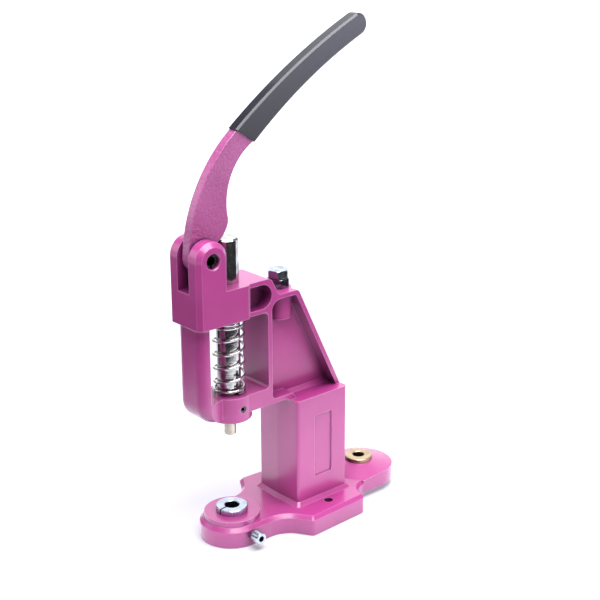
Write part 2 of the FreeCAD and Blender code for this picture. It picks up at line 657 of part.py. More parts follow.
def guides_and_holes(body):
    ram = new_sketch(body, "XY_Plane", "ram_guides", HEAD_TOP)
    add_circle(ram, "Sizes.ram_radius + Sizes.running_clearance")
    pocket(body, ram, HEAD_TOP + " - Sizes.boss_bottom + Sizes.ram_bevel")
    pin = new_sketch(body, "YZ_Plane", "pin_holes")
    add_circle(pin, "Sizes.pin_radius", "Sizes.pivot_y", PIVOT_Z)
    pocket(body, pin, "2 * Sizes.head_half_width", symmetric=True)
    wide = size("head_half_width")
    pin_y = size("pivot_y")
    pin_z = pivot_z()
    dress(body, "Chamfer", "pin_hole_bevel", "Size", "Sizes.ear_hole_bevel",
          lambda point: near(abs(point.x), wide)
          and near(math.hypot(point.y - pin_y, point.z - pin_z), size("pin_radius")))
    stop = new_sketch(body, "XY_Plane", "stop_bolt_hole", PAD_TOP)
    add_circle(stop, "Sizes.bolt_radius + Sizes.running_clearance", None, "Sizes.stop_y")
    pocket(body, stop, "Sizes.stop_boss_length")
    guide = new_sketch(body, "YZ_Plane", "guide_screw_hole")
    add_circle(guide, "Sizes.guide_screw_radius", None, "Sizes.guide_screw_height")
    pocket(body, guide, "Sizes.boss_radius + Sizes.ram_bevel", backwards=True)
    bush = new_sketch(body, "XY_Plane", "front_bush_hole", "Sizes.station_top")
    add_circle(bush, "Sizes.bush_stem_radius")
    pocket(body, bush, "Sizes.station_top")
    spare = new_sketch(body, "XY_Plane", "rear_bush_hole", "Sizes.rear_seat")
    add_circle(spare, "Sizes.rear_bush_stem_radius", None, "Sizes.station_pitch")
    pocket(body, spare, "Sizes.rear_seat")
    clamp = new_sketch(body, "YZ_Plane", "clamp_screw_hole")
    add_circle(clamp, "Sizes.clamp_screw_radius", None, "Sizes.clamp_screw_height")
    pocket(body, clamp, "Sizes.lobe_radius + Sizes.ram_bevel", backwards=True)
    bench = new_sketch(body, "XY_Plane", "bench_bolt_holes", "Sizes.base_height")
    add_circle(bench, "Sizes.mount_hole_radius", "Sizes.mount_hole_x", "Sizes.mount_hole_y")
    add_circle(bench, "Sizes.mount_hole_radius", "-Sizes.mount_hole_x", "Sizes.mount_hole_y")
    pocket(body, bench, "Sizes.base_height")
    core = new_sketch(body, "XY_Plane", "column_core")
    inside = column_corners(-size("column_wall"))
    add_outline(core, [(across, up, size("column_round")) for across, up, _ in inside if across])
    pocket(body, core, "Sizes.column_top - Sizes.column_wall", backwards=True)
    panel = new_sketch(body, "YZ_Plane", "sunk_panel", "Sizes.column_half_width - Sizes.panel_depth")
    front = size("panel_front_y")
    rear = front + size("panel_width")
    low = size("panel_bottom")
    high = low + size("panel_height")
    rounding = size("panel_round")
    add_outline(panel, [(front, low, rounding), (rear, low, rounding), (rear, high, rounding),
                        (front, high, rounding)])
    pocket(body, panel, "2 * Sizes.panel_depth", backwards=True)


def lever_point(share):
    """Place of a share point in the lever's side view, from the pivot."""
    return Vector(share[0] * size("lever_reach"), share[1] * size("lever_rise"), 0)


def lever_runs():
    """Stretches of the lever's outline round the handle, as arcs' three points."""
    front = [lever_point(share) for share in FRONT_EDGE_SHARES]
    top = [lever_point(share) for share in HANDLE_TOP_SHARES]
    under = [lever_point(share) for share in HANDLE_UNDER_SHARES]
    return front, [front[1]] + top, under


def heading(points, place):
    """Heading of the arc through three points, at one of them."""
    spoke = place - Part.Arc(*points).toShape().Curve.Center
    along = Vector(-spoke.y, spoke.x, 0).normalize()
    return along if along.dot(points[2] - points[0]) > 0 else along * -1


def add_handle_end(sketch, top, under):
    """Rounded end that leaves the top edge and meets the under edge smoothly."""
    for start, middle, end in biarc(top[2], heading(top, top[2]), under[0], heading(under, under[0])):
        add_arc(sketch, start, middle, end)


def make_lever():
    body = new_body("lever")
    body.setExpression("Placement.Base.y", "Sizes.pivot_y")
    body.setExpression("Placement.Base.z", PIVOT_Z)
    side = new_sketch(body, "YZ_Plane", "lever_side")
    front, top, under = lever_runs()
    back = [lever_point(share) for share in BACK_EDGE_SHARES]
    hub = size("hub_radius")
    cam_start = polar(hub, size("cam_start_angle"))
    nose = polar(size("nose_radius"), size("nose_angle"))
    hub_front = Vector(-hub, 0, 0)
    add_arc(side, hub_front, front[0], front[1])
    add_arc(side, *top)
    add_handle_end(side, top, under)
    add_arc(side, *under)
    add_arc(side, under[2], back[0], back[1])
    add_arc(side, back[1], polar(size("nose_tip_radius"), size("nose_tip_angle")), nose)
    add_arc(side, nose, polar(size("cam_middle_radius"), size("cam_middle_angle")), cam_start)
    add_arc(side, cam_start, Vector(0, -hub, 0), hub_front)
    pad(body, side, "2 * Sizes.lever_half_thickness", symmetric=True)
    bore = new_sketch(body, "YZ_Plane", "lever_bore")
    add_circle(bore, "Sizes.pin_radius + Sizes.running_clearance")
    pocket(body, bore, "4 * Sizes.lever_half_thickness", symmetric=True)
    return body


def beside(points, grow):
    """Three points of an arc, moved away from its centre."""
    centre = Part.Arc(*points).toShape().Curve.Center
    return [centre + (point - centre).normalize() * ((point - centre).Length + grow) for point in points]


def add_grip_outline(sketch, grow, mouth_shift):
    """Handle end of the lever's outline, grown outwards, with a straight mouth."""
    _, top, under = lever_runs()
    upper = beside(top, grow)
    lower = beside(under, -grow)
    add_arc(sketch, *upper)
    add_handle_end(sketch, upper, lower)
    add_arc(sketch, *lower)
    if not mouth_shift:
        add_line(sketch, lower[2], upper[0])
        return
    across = (upper[0] - lower[2]).normalize()
    out = Vector(-across.y, across.x, 0) * mouth_shift
    if out.dot(top[1] - top[0]) > 0:
        out = out * -1
    add_line(sketch, lower[2], lower[2] + out)
    add_line(sketch, lower[2] + out, upper[0] + out)
    add_line(sketch, upper[0] + out, upper[0])


def make_grip():
    """Soft sleeve pulled over the lever's handle."""
    body = new_body("lever_grip")
    body.setExpression("Placement.Base.y", "Sizes.pivot_y")
    body.setExpression("Placement.Base.z", PIVOT_Z)
    outside = new_sketch(body, "YZ_Plane", "grip_outside")
    add_grip_outline(outside, size("grip_wall"), 0)
    pad(body, outside, "2 * (Sizes.lever_half_thickness + Sizes.grip_wall)", symmetric=True)
    half = size("lever_half_thickness") + size("grip_wall")
    mouth = (beside(lever_runs()[1], size("grip_wall"))[0], beside(lever_runs()[2], -size("grip_wall"))[2])
    across = (mouth[1] - mouth[0]).normalize()

    def on_rim(point):
        offset = Vector(point.y, point.z, 0) - mouth[0]
        return near(abs(point.x), half) and not near((offset - across * offset.dot(across)).Length, 0)

    dress(body, "Chamfer", "grip_edges", "Size", "Sizes.grip_edge_bevel", on_rim)
    inside = new_sketch(body, "YZ_Plane", "grip_inside")
    add_grip_outline(inside, size("grip_slip"), OVERRUN)
    pocket(body, inside, "2 * (Sizes.lever_half_thickness + Sizes.grip_slip)", symmetric=True)
    return body


def make_pin():
    """Rolled pin, tight in the ears, on which the lever turns."""
    body = new_body("pivot_pin")
    body.setExpression("Placement.Base.y", "Sizes.pivot_y")
    body.setExpression("Placement.Base.z", PIVOT_Z)
    ends = new_sketch(body, "YZ_Plane", "pin_section")
    add_circle(ends, "Sizes.pin_radius")
    add_circle(ends, "Sizes.pin_bore_radius")
    pad(body, ends, "2 * (Sizes.head_half_width - Sizes.pin_recess)", symmetric=True)
    slit = new_sketch(body, "YZ_Plane", "pin_slit")
    half = size("pin_slit") / 2
    add_outline(slit, [(-half, 0, 0), (half, 0, 0), (half, -2 * size("pin_radius"), 0),
                       (-half, -2 * size("pin_radius"), 0)])
    pocket(body, slit, "2 * Sizes.head_half_width", symmetric=True)
    return body


def ring_top():
    return size("head_bottom") - size("rest_gap")


def make_ram():
    body = new_body("ram")
    profile = new_sketch(body, "XZ_Plane", "ram_profile")
    radius = size("ram_radius")
    bevel = size("ram_bevel")
    groove = radius - size("groove_depth")
    upper = ring_top()
    lower = upper - size("ring_thickness")
    seat = size("ram_bottom") + size("spigot_seat")
    turned(body, profile, [
        (0, seat, 0),
        (size("spigot_stem_radius"), seat, 0),
        (size("spigot_stem_radius"), size("ram_bottom"), 0),
        (radius - bevel / 2, size("ram_bottom"), 0),
        (radius, size("ram_bottom") + bevel / 2, 0),
        (radius, lower, 0),
        (groove, lower, 0),
        (groove, upper, 0),
        (radius, upper, 0),
        (radius, pivot_z() + size("ram_rise") - bevel, 0),
        (radius - bevel, pivot_z() + size("ram_rise"), 0),
        (0, pivot_z() + size("ram_rise"), 0)])
    key = new_sketch(body, "YZ_Plane", "keyway", "Sizes.ram_radius - Sizes.keyway_depth")
    half = size("keyway_width") / 2
    low = size("guide_screw_height") - half - bevel
    high = size("guide_screw_height") + size("stroke") + half + bevel
    rounding = 2 * half * ROUND_END_SHARE
    add_outline(key, [(-half, low, rounding), (half, low, rounding), (half, high, rounding),
                      (-half, high, rounding)])
    pocket(body, key, "2 * Sizes.keyway_depth", backwards=True)
    return body


def make_spigot():
    """Plated spigot under the ram that takes the upper die."""
    body = new_body("die_spigot")
    profile = new_sketch(body, "XZ_Plane", "spigot_profile")
    radius = size("spigot_radius")
    low = size("ram_bottom") - size("spigot_length")
    shoulder = size("ram_bottom")
    stem = size("spigot_stem_radius")
    high = shoulder + size("spigot_seat")
    bevel = size("spigot_bevel")
    turned(body, profile, [(0, low, 0), (radius - bevel, low, 0), (radius, low + bevel, 0),
                           (radius, shoulder, 0), (stem, shoulder, 0), (stem, high, 0), (0, high, 0)])
    return body


def make_retaining_ring():
    body = new_body("retaining_ring")
    body.setExpression("Placement.Base.z", "Sizes.head_bottom - Sizes.rest_gap - Sizes.ring_thickness")
    ring = new_sketch(body, "XY_Plane", "ring_plan")
    add_circle(ring, "Sizes.ring_radius")
    add_circle(ring, "Sizes.ram_radius - Sizes.groove_depth")
    pad(body, ring, "Sizes.ring_thickness")
    gap = new_sketch(body, "XY_Plane", "ring_gap")
    reach = 2 * size("ring_radius")
    half = size("ring_gap_angle") / 2
    ends = [polar(reach, 90 - half), polar(reach, 90 + half)]
    add_outline(gap, [(0, 0, 0), (ends[0].x, ends[0].y, 0), (ends[1].x, ends[1].y, 0)])
    pocket(body, gap, "Sizes.ring_thickness", backwards=True)
    return body


def make_spring_washer():
    body = new_body("spring_washer")
    body.setExpression("Placement.Base.z", "Sizes.head_bottom - Sizes.rest_gap - Sizes.ring_thickness"
                       " - Sizes.washer_thickness")
    plan = new_sketch(body, "XY_Plane", "washer_plan")
    add_circle(plan, "Sizes.washer_radius")
    add_circle(plan, "Sizes.ram_radius + Sizes.washer_clearance")
    pad(body, plan, "Sizes.washer_thickness")
    return body


# Turns of the return spring between its two closed end turns.
ACTIVE_TURNS = 4.5
END_TURNS = 1.25
STEPS_IN_A_TURN = 4
GAP_SAMPLES = 600
WIRE_SIDES = 8


def make_spring():
    """Return spring: one wire wound up a helix, with closed end turns."""
    wire = size("spring_wire")
    radius = size("spring_radius") - wire / 2
    low = size("boss_top") + size("spring_seat_gap") + wire / 2
    washer_low = ring_top() - size("ring_thickness") - size("washer_thickness")
    high = washer_low - size("spring_seat_gap") - wire / 2
    end_pitch = wire + size("spring_end_gap")
    pitch = (high - low - 2 * END_TURNS * end_pitch) / ACTIVE_TURNS
    steps = round((ACTIVE_TURNS + 2 * END_TURNS) * STEPS_IN_A_TURN)
    end_steps = round(END_TURNS * STEPS_IN_A_TURN)
    pitches = [pitch if end_steps <= index < steps - end_steps else end_pitch for index in range(steps)]
    heights = [low]
    for rise in pitches:
        heights.append(heights[-1] + rise / STEPS_IN_A_TURN)
    between = [(before + after) / 2 for before, after in zip(pitches, pitches[1:])]
    slopes = [pitches[0]] + between + [pitches[-1]]
    nodes = []
    for index, (height, slope) in enumerate(zip(heights, slopes)):
        angle = 2 * math.pi * index / STEPS_IN_A_TURN - math.pi / 2
        place = Vector(radius * math.cos(angle), radius * math.sin(angle), height)
        heading = Vector(-radius * math.sin(angle), radius * math.cos(angle), slope / (2 * math.pi))
        heading.normalize()
        nodes.append((place, heading))
    edges = []
    for (start, out), (end, into) in zip(nodes, nodes[1:]):
        edges += [Part.Arc(*points).toShape() for points in biarc(start, out, end, into)]
    path = Part.Wire(edges)
    section = wire_section(wire / 2, *nodes[0])
    coil = path.makePipeShell([section], True, False)
    spring = doc.addObject("Part::Feature", "return_spring")
    spring.Shape = coil
    spring.Placement = FreeCAD.Placement()
    spring.Label = "return_spring"
    share = coil.Volume / (Part.Face(section).Area * path.Length)
    print("spring: volume over section times length %.4f, least gap %.3f"
          % (share, least_self_gap(path, wire, radius)))
    return spring


def wire_section(radius, place, out):
    """Section of the wire across its path: an octagon, which keeps the coil's facets few."""
    inward = Vector(-place.x, -place.y, 0).normalize()
    across = out.cross(inward).normalize()
    angles = [2 * math.pi * (side + 0.5) / WIRE_SIDES for side in range(WIRE_SIDES)]
    corners = [place + (inward * math.cos(angle) + across * math.sin(angle)) * radius for angle in angles]
    return Part.makePolygon(corners + corners[:1])


def biarc(start, out, end, into):
    """Two tangent arcs, as three points each, from one place and heading to the next."""
    chord = end - start
    square = 2 * (1 - out.dot(into))
    slope = 2 * chord.dot(out + into)
    least = -chord.dot(chord)
    if square < SAME_PLACE:
        reach = -least / slope
    else:
        reach = (-slope + math.sqrt(slope * slope - 4 * square * least)) / (2 * square)
    joint = (start + out * reach + end - into * reach) * 0.5
    return [(start, arc_middle(start, out, joint), joint), (joint, arc_middle(end, into * -1, joint), end)]


def arc_middle(start, out, end):
    """Middle of the arc that leaves start along out and arrives at end."""
    chord = end - start
    side = (chord - out * chord.dot(out)).normalize()
    radius = chord.dot(chord) / (2 * chord.dot(side))
    centre = start + side * radius
    return centre + ((start + end) * 0.5 - centre).normalize() * radius


def least_self_gap(path, wire, radius):
    """Least distance between the surfaces of two turns of the spring."""
    points = path.discretize(GAP_SAMPLES)
    spacing = path.Length / (len(points) - 1)
    skip = math.ceil(math.pi * radius / spacing)
    count = len(points)
    least = min((points[i] - points[j]).Length for i in range(count) for j in range(i + skip, count))
    return least - wire


def make_guide_screw():
    """Socket set screw whose dog point runs in the ram's keyway."""
    body = new_body("guide_set_screw")
    body.setExpression("Placement.Base.z", "Sizes.guide_screw_height")
    shank = new_sketch(body, "YZ_Plane", "guide_shank",
                       "Sizes.ram_radius + Sizes.guide_dog_gap + Sizes.bush_bevel")
    add_circle(shank, "Sizes.guide_screw_radius")
    pad(body, shank, "Sizes.boss_radius - Sizes.guide_screw_inset - Sizes.ram_radius - Sizes.guide_dog_gap"
        " - Sizes.bush_bevel")
    dog = new_sketch(body, "YZ_Plane", "guide_dog",
                     "Sizes.ram_radius - Sizes.keyway_depth + Sizes.guide_dog_gap")
    add_circle(dog, "Sizes.guide_dog_radius")
    pad(body, dog, "Sizes.keyway_depth + Sizes.bush_bevel")
    socket = new_sketch(body, "YZ_Plane", "guide_socket", "Sizes.boss_radius - Sizes.guide_screw_inset")
    add_hexagon(socket, size("guide_socket_width"))
    pocket(body, socket, "Sizes.guide_socket_depth")
    return body


def make_die_bush():
    """Front station: flanged split bush that grips the lower die."""
    body = new_body("die_bush")
    profile = new_sketch(body, "XZ_Plane", "bush_profile")
    bore = size("bush_bore_radius")
    stem = size("bush_stem_radius")
    flange = size("bush_flange_radius")
    bevel = size("bush_bevel")
    seat = size("station_top")
    top = seat + size("bush_flange")
    turned(body, profile, [(bore, 0, 0), (stem, 0, 0), (stem, seat, 0), (flange, seat, 0),
                           (flange, top - bevel, 0), (flange - bevel, top, 0), (bore + bevel, top, 0),
                           (bore, top - bevel, 0)])
    slit = new_sketch(body, "XY_Plane", "bush_slit")
    half = size("bush_slit") / 2
    out = polar(2 * flange, size("bush_slit_angle") - 90)
    side = Vector(-out.y, out.x, 0).normalize() * half
    add_outline(slit, [(side.x, side.y, 0), (-side.x, -side.y, 0), (out.x - side.x, out.y - side.y, 0),
                       (out.x + side.x, out.y + side.y, 0)])
    pocket(body, slit, "2 * (Sizes.station_top + Sizes.bush_flange)", backwards=True)
    return body


def make_clamp_screw():
    """Cap screw in the side of the front lobe that holds the bush."""
    body = new_body("die_clamp_screw")
    body.setExpression("Placement.Base.z", "Sizes.clamp_screw_height")
    shank = new_sketch(body, "YZ_Plane", "clamp_shank", "Sizes.bush_stem_radius + Sizes.clamp_tip_gap")
    add_circle(shank, "Sizes.clamp_screw_radius")
    pad(body, shank,
        "Sizes.lobe_radius + Sizes.clamp_head_gap - Sizes.bush_stem_radius - Sizes.clamp_tip_gap")
    cap = new_sketch(body, "YZ_Plane", "clamp_head", "Sizes.lobe_radius + Sizes.clamp_head_gap")
    add_circle(cap, "Sizes.clamp_head_radius")
    pad(body, cap, "Sizes.clamp_head_length")
    face = size("lobe_radius") + size("clamp_head_gap") + size("clamp_head_length")
    rim = size("clamp_head_radius")
    dress(body, "Chamfer", "clamp_head_edge", "Size", "Sizes.bush_bevel",
          lambda point: near(point.x, face) and near(math.hypot(point.y, point.z), rim))
    socket = new_sketch(body, "YZ_Plane", "clamp_socket",
                        "Sizes.lobe_radius + Sizes.clamp_head_gap + Sizes.clamp_head_length")
    add_hexagon(socket, size("clamp_socket_width"))
    pocket(body, socket, "Sizes.clamp_socket_depth")
    return body


def make_rear_bush():
    """Rear station: plain flanged bush."""
    body = new_body("rear_bush")
    body.setExpression("Placement.Base.y", "Sizes.station_pitch")
    profile = new_sketch(body, "XZ_Plane", "rear_bush_profile")
    bore = size("rear_bush_bore_radius")
    stem = size("rear_bush_stem_radius")
    flange = size("rear_bush_radius")
    bevel = size("bush_bevel")
    foot = size("rear_lobe_lift")
    seat = size("rear_seat")
    top = seat + size("rear_bush_flange")
    turned(body, profile, [(bore, foot, 0), (stem, foot, 0), (stem, seat, 0), (flange, seat, 0),
                           (flange, top - bevel, 0), (flange - bevel, top, 0), (bore + bevel, top, 0),
                           (bore, top - bevel, 0)])
    return body


def bevelled_hexagon(body, name, bottom, height, turn):
    """Hexagon on the XY plane whose upper corners are turned off."""
    flats = new_sketch(body, "XY_Plane", name + "_flats", bottom)
    add_hexagon(flats, size("bolt_width"), turn)
    pad(body, flats, height)
    corner = size("bolt_width") / (2 * math.cos(math.pi / HEXAGON_SIDES))
    low = body.evalExpression(bottom)
    top = low + body.evalExpression(height)
    bevel = size("hex_bevel")
    cutter = new_sketch(body, "XZ_Plane", name + "_corners")
    add_outline(cutter, [(corner - bevel, top, 0), (corner + bevel, top, 0),
                         (corner + bevel, top - bevel, 0)])
    groove = body.newObject("PartDesign::Groove", name + "_corner_cut")
    groove.Profile = cutter
    groove.ReferenceAxis = (cutter, ["V_Axis"])
    doc.recompute()


def make_stop_bolt():
    """Hexagon bolt that stops the lever, in the arm's seat behind the head."""
    body = new_body("stop_bolt")
    body.setExpression("Placement.Base.y", "Sizes.stop_y")
    body.setExpression("Placement.Base.z", PAD_TOP + " + Sizes.nut_height + Sizes.bolt_head_gap")
    bevelled_hexagon(body, "bolt_head", "0 * Sizes.hex_bevel", "Sizes.bolt_head_height", size("bolt_turn"))
    shank = new_sketch(body, "XY_Plane", "bolt_shank")
    add_circle(shank, "Sizes.bolt_radius")
    pad(body, shank, "Sizes.bolt_length", backwards=True)
    low = -size("bolt_length")
    dress(body, "Chamfer", "bolt_end_bevel", "Size", "Sizes.bush_bevel", lambda point: near(point.z, low))
    return body


def make_lock_nut():
    body = new_body("stop_lock_nut")
    body.setExpression("Placement.Base.y", "Sizes.stop_y")
    body.setExpression("Placement.Base.z", PAD_TOP)
    bevelled_hexagon(body, "nut", "0 * Sizes.hex_bevel", "Sizes.nut_height", size("nut_turn"))
    bore = new_sketch(body, "XY_Plane", "nut_bore")
    add_circle(bore, "Sizes.bolt_radius + Sizes.running_clearance")
    pocket(body, bore, "Sizes.nut_height", backwards=True)
    return body


PIECES = [
    make_frame, make_lever, make_grip, make_pin, make_ram, make_spigot, make_retaining_ring,
    make_spring_washer, make_spring, make_guide_screw, make_die_bush, make_clamp_screw,
    make_rear_bush, make_stop_bolt, make_lock_nut]

pieces = [make() for make in PIECES]
doc.recompute()

for item in doc.Objects:
    if "Invalid" in item.State or "Error" in item.State:
        raise ValueError("%s is %s" % (item.Label, item.State))
for piece in pieces:
    if piece.Shape.isNull() or not piece.Shape.isValid():
        raise ValueError(piece.Label + " has no valid shape")
    print("%-16s %9.1f mm3  %d solid" % (piece.Label, piece.Shape.Volume, len(piece.Shape.Solids)))

os.makedirs("parts", exist_ok=True)
for piece in pieces:
    piece.Shape.exportStep("parts/%s.step" % piece.Label)
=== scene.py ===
"""Hand-lever eyelet press: finished surfaces over the fixed frame, in metres."""

import math

import bmesh
import bpy
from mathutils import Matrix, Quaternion, Vector


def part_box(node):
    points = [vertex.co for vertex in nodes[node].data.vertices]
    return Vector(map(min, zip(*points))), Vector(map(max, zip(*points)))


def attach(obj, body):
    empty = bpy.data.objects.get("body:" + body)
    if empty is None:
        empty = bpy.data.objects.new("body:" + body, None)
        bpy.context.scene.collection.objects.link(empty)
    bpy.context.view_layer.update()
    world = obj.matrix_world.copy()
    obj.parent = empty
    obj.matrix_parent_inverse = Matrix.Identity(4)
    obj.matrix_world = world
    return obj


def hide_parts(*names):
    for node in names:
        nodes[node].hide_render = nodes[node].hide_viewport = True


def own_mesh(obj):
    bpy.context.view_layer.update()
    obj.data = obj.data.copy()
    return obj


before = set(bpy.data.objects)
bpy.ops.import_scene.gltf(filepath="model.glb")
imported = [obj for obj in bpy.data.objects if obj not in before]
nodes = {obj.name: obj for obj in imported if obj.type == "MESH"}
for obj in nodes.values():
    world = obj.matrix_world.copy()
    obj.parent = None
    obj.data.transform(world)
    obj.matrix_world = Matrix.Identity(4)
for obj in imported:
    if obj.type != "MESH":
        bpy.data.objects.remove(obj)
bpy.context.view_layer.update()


# The casting is one aluminium body: base, hollow column, webbed arm, head with two
# ears and the guide boss.  It is die cast, so its outer edges are rounded, and it is
# sprayed with a satin magenta enamel.  A paler line along the edges is partly enamel
# thinned there and partly a painted highlight.

def only(piece):
    """Select one piece and make it the one that the operators work on."""
    bpy.ops.object.select_all(action="DESELECT")
    piece.select_set(True)
    bpy.context.view_layer.objects.active = piece
    return piece


def copy_of(node, name, merge_distance=2e-6, flat_angle=0.4):
    """Loose copy of a CAD node's mesh, merged and with its flat faces joined up."""
    piece = bpy.data.objects.new(name, nodes[node].data.copy())
    bpy.context.scene.collection.objects.link(piece)
    only(piece)
    bpy.ops.mesh.customdata_custom_splitnormals_clear()
    bpy.ops.object.mode_set(mode="EDIT")
    bpy.ops.mesh.select_all(action="SELECT")
    bpy.ops.mesh.remove_doubles(threshold=merge_distance)
    bpy.ops.mesh.dissolve_limited(angle_limit=math.radians(flat_angle))
    bpy.ops.object.mode_set(mode="OBJECT")
    return piece


def round_edges(piece, width, corner, segments=3, share_of_room=0.45):
    """Round each edge sharper than corner, narrower where its neighbours are close."""
    shape = bmesh.new()
    shape.from_mesh(piece.data)
    weight = shape.edges.layers.float.new("bevel_weight_edge")
    sharp = {
        edge for edge in shape.edges
        if edge.is_manifold and edge.calc_face_angle() > math.radians(corner)
    }
    room = {}
    plenty = 3 * width
    for vert in shape.verts:
        plain = [edge.calc_length() for edge in vert.link_edges if edge not in sharp]
        crossing = [edge.calc_length() for edge in vert.link_edges if edge in sharp]
        if len(crossing) > 2:
            plain += crossing
        room[vert] = share_of_room * min(plain, default=plenty)
    for edge in sharp:
        edge[weight] = min(1.0, min(room[vert] for vert in edge.verts) / width)
    shape.to_mesh(piece.data)
    shape.free()
    rounding = piece.modifiers.new("edge_rounding", "BEVEL")
    rounding.limit_method = "WEIGHT"
    rounding.width = width
    rounding.segments = segments
    rounding.use_clamp_overlap = False
    only(piece)
    bpy.ops.object.modifier_apply(modifier=rounding.name)


def smooth(piece, angle=34):
    """Smooth shading that leaves true corners, with the flats kept flat."""
    only(piece)
    bpy.ops.object.shade_smooth_by_angle(angle=math.radians(angle))
    flats = piece.modifiers.new("flat_faces", "WEIGHTED_NORMAL")
    flats.keep_sharp = True
    flats.weight = 80
    bpy.ops.object.modifier_apply(modifier=flats.name)


def effect(name, inputs, outputs):
    """Empty shader node group, with its input and output nodes."""
    tree = bpy.data.node_groups.new(name, "ShaderNodeTree")
    for label, kind, value in inputs:
        socket = tree.interface.new_socket(label, in_out="INPUT", socket_type=kind)
        socket.default_value = value
    for label, kind in outputs:
        tree.interface.new_socket(label, in_out="OUTPUT", socket_type=kind)
    return tree, tree.nodes.new("NodeGroupInput"), tree.nodes.new("NodeGroupOutput")


def node(tree, kind, **settings):
    """Shader node with some of its settings or plain input values."""
    made = tree.nodes.new("ShaderNode" + kind)
    for name, value in settings.items():
        if hasattr(made, name):
            setattr(made, name, value)
        else:
            made.inputs[name.replace("_", " ")].default_value = value
    return made


def maths(tree, operation, first, second, clamp=False):
    """Math node between two sockets or numbers, as its output socket."""
    made = tree.nodes.new("ShaderNodeMath")
    made.operation = operation
    made.use_clamp = clamp
    for place, value in enumerate((first, second)):
        if isinstance(value, (int, float)):
            made.inputs[place].default_value = value
        else:
            tree.links.new(value, made.inputs[place])
    return made.outputs[0]


def spread(tree, value, low, high, bottom=0.0, top=1.0):
    """Value carried from the range low to high into bottom to top, and held there."""
    made = tree.nodes.new("ShaderNodeMapRange")
    tree.links.new(value, made.inputs["Value"])
    ends = {"From Min": low, "From Max": high, "To Min": bottom, "To Max": top}
    for label, number in ends.items():
        made.inputs[label].default_value = number
    return made.outputs["Result"]


def blend_colour(tree, mask, first, second, mode="MIX"):
    """Colour between two colours or sockets by a mask, as its output socket."""
    made = tree.nodes.new("ShaderNodeMix")
    made.data_type = "RGBA"
    made.blend_type = mode
    factor, base, over = (made.inputs[place] for place in (0, 6, 7))
    for socket, value in ((factor, mask), (base, first), (over, second)):
        if isinstance(value, (int, float)):
            socket.default_value = value
        elif isinstance(value, tuple):
            socket.default_value = (*value, 1.0)
        else:
            tree.links.new(value, socket)
    return made.outputs[2]


def place_effect(tree, group, **values):
    """A shared effect in a material, with this finish's own values."""
    made = tree.nodes.new("ShaderNodeGroup")
    made.node_tree = group
    for name, value in values.items():
        made.inputs[name.replace("_", " ")].default_value = value
    return made


def finish(name, **sockets):
    """New material with its own Principled shader and constants on that shader's sockets."""
    material = bpy.data.materials.new(name)
    material.use_nodes = True
    tree = material.node_tree
    shader = tree.nodes["Principled BSDF"]
    for label, value in sockets.items():
        shader.inputs[label.replace("_", " ")].default_value = value
    return material, tree, shader


def dress(piece, material):
    """Give one material to the whole of a piece."""
    piece.data.materials.clear()
    piece.data.materials.append(material)


# Edge light: where a rounded normal leaves the true one there is an edge.  The finishes
# below use its Edge mask for painted highlights and painted dark lines along edges.
edge_light, given, result = effect(
    "edge_light",
    [("Radius", "NodeSocketFloat", 0.0006), ("Width", "NodeSocketFloat", 0.25)],
    [("Normal", "NodeSocketVector"), ("Edge", "NodeSocketFloat")],
)
soft_normal = node(edge_light, "Bevel", samples=6)
edge_light.links.new(given.outputs["Radius"], soft_normal.inputs["Radius"])
true_normal = node(edge_light, "NewGeometry")
turned = node(edge_light, "VectorMath", operation="DOT_PRODUCT")
edge_light.links.new(soft_normal.outputs[0], turned.inputs[0])
edge_light.links.new(true_normal.outputs["Normal"], turned.inputs[1])
away = maths(edge_light, "SUBTRACT", 1.0, turned.outputs["Value"])
edge_mask = maths(edge_light, "DIVIDE", away, given.outputs["Width"], clamp=True)
edge_light.links.new(soft_normal.outputs[0], result.inputs["Normal"])
edge_light.links.new(edge_mask, result.inputs["Edge"])

# Cast skin: the fine swelling of sprayed enamel over a cast face, rare dust specks,
# and slow clouds of thicker and thinner colour.
cast_skin, given, result = effect(
    "cast_skin",
    [
        ("Grain", "NodeSocketFloat", 900.0),
        ("Speck Size", "NodeSocketFloat", 260.0),
        ("Cloud", "NodeSocketFloat", 30.0),
    ],
    [("Height", "NodeSocketFloat"), ("Specks", "NodeSocketFloat"), ("Clouds", "NodeSocketFloat")],
)
place = node(cast_skin, "TexCoord")
swell = node(cast_skin, "TexNoise", Detail=3.0, Roughness=0.55)
cast_skin.links.new(place.outputs["Object"], swell.inputs["Vector"])
cast_skin.links.new(given.outputs["Grain"], swell.inputs["Scale"])
cells = node(cast_skin, "TexVoronoi")
cast_skin.links.new(place.outputs["Object"], cells.inputs["Vector"])
cast_skin.links.new(given.outputs["Speck Size"], cells.inputs["Scale"])
chosen = maths(cast_skin, "GREATER_THAN", cells.outputs["Color"], 0.93)
near = spread(cast_skin, cells.outputs["Distance"], 0.10, 0.16, 1.0, 0.0)
specks = maths(cast_skin, "MULTIPLY", chosen, near)
clouds = node(cast_skin, "TexNoise", Detail=2.0, Roughness=0.5)
cast_skin.links.new(place.outputs["Object"], clouds.inputs["Vector"])
cast_skin.links.new(given.outputs["Cloud"], clouds.inputs["Scale"])
raised = maths(cast_skin, "MULTIPLY", specks, 0.9)
height = maths(cast_skin, "ADD", swell.outputs["Fac"], raised)
cast_skin.links.new(height, result.inputs["Height"])
cast_skin.links.new(specks, result.inputs["Specks"])
cast_skin.links.new(clouds.outputs["Fac"], result.inputs["Clouds"])
